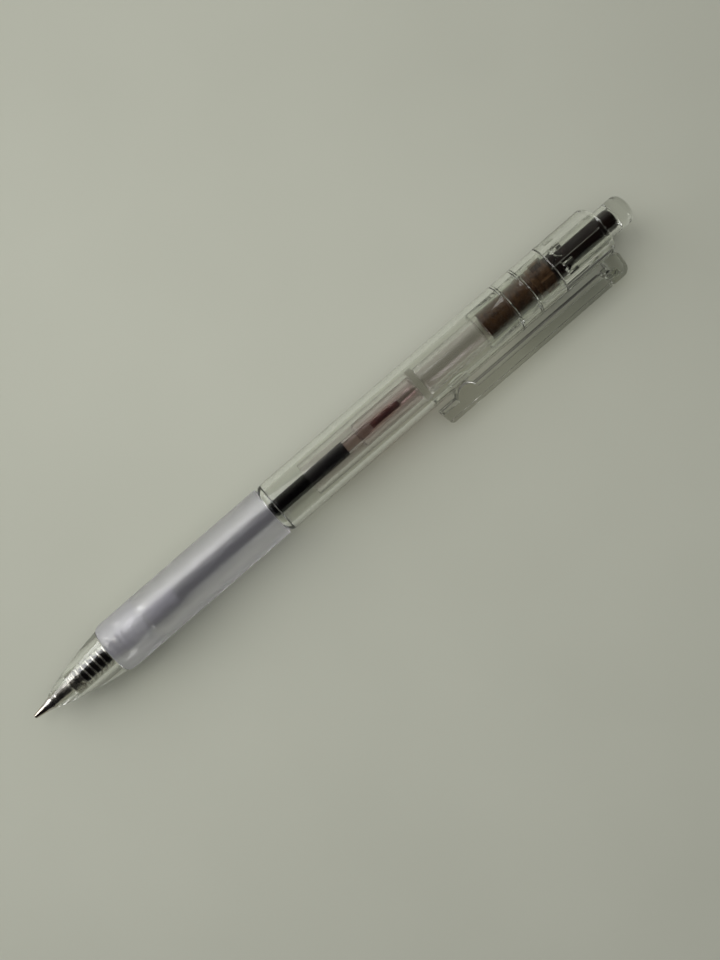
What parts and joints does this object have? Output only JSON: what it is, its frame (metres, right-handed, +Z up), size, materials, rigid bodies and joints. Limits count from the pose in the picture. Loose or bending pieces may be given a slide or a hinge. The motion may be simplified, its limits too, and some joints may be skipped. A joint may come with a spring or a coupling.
{
  "type": "retractable ballpoint pen",
  "caption": "Slim clear click pen lying on its side: tapered nose with a steel point, frosted grip sleeve, see-through barrel, pocket clip and push button.",
  "frame": {"origin": "middle of the pen's outline on the table it lies on", "axes": "+X along the pen from the writing point to the push button, +Z up from the table; the clip points towards -Y and down to the table"},
  "size_m": [0.1426, 0.0148, 0.0102],
  "materials": {
    "clear_plastic": "clear, polished mould",
    "carrier_plastic": "clear, slightly milky",
    "tube_plastic": "clear extruded and moulded polypropylene",
    "grip_rubber": "translucent, fine matt",
    "joint_plastic": "natural translucent plastic",
    "black_plastic": "moulded black",
    "steel": "turned and polished",
    "nickel_silver": "turned nickel silver",
    "hard_metal": "ground and polished",
    "spring_wire": "drawn wire",
    "ink": "liquid black ink",
    "follower_gel": "clear grease",
    "float_plastic": "moulded brown plastic"
  },
  "bodies": {
    "root": {"nose_cone": "clear_plastic", "barrel": "clear_plastic", "grip_sleeve": "grip_rubber", "end_cap": "clear_plastic", "return_spring": "spring_wire"},
    "refill": {"point_metal": "nickel_silver", "point_sleeve": "steel", "point_holder": "black_plastic", "refill_joint": "joint_plastic", "check_ball": "hard_metal", "ink_tube": "tube_plastic", "ink_column": "ink", "ink_follower": "follower_gel", "follower_float": "float_plastic", "tail_plug": "tube_plastic", "refill_carrier": "carrier_plastic"},
    "rotor": {"cam_rotor": "black_plastic"},
    "button": {"push_button": "clear_plastic"},
    "clip": {"clip": "clear_plastic"},
    "ball": {"writing_ball": "hard_metal"}
  },
  "joints": [
    {"name": "refill_slide", "type": "slide", "parent": "root", "child": "refill", "axis": [1, 0, 0], "range_m": [-0.001, 0.0055], "deforming": ["return_spring"]},
    {"name": "button_slide", "type": "slide", "parent": "root", "child": "button", "axis": [1, 0, 0], "range_m": [-0.001, 0.0055]},
    {"name": "rotor_spin", "type": "hinge", "parent": "refill", "child": "rotor", "pos_m": [0.0487, 0.00228, 0.0051], "axis": [1, 0, 0], "continuous": true},
    {"name": "clip_flex", "type": "hinge", "parent": "root", "child": "clip", "pos_m": [0.06243, -0.00522, 0.00234], "axis": [0, -0.3455, 0.9384], "range_deg": [0, 4], "stiffness_Nm_per_rad": 0.8, "springref_deg": -1.15},
    {"name": "ball_roll", "type": "hinge", "parent": "refill", "child": "ball", "pos_m": [-0.07095, 0.00228, 0.0051], "axis": [0, 1, 0], "continuous": true}
  ],
  "couplings": [
    {"joint": "button_slide", "follows": "refill_slide", "ratio": 1}
  ]
}
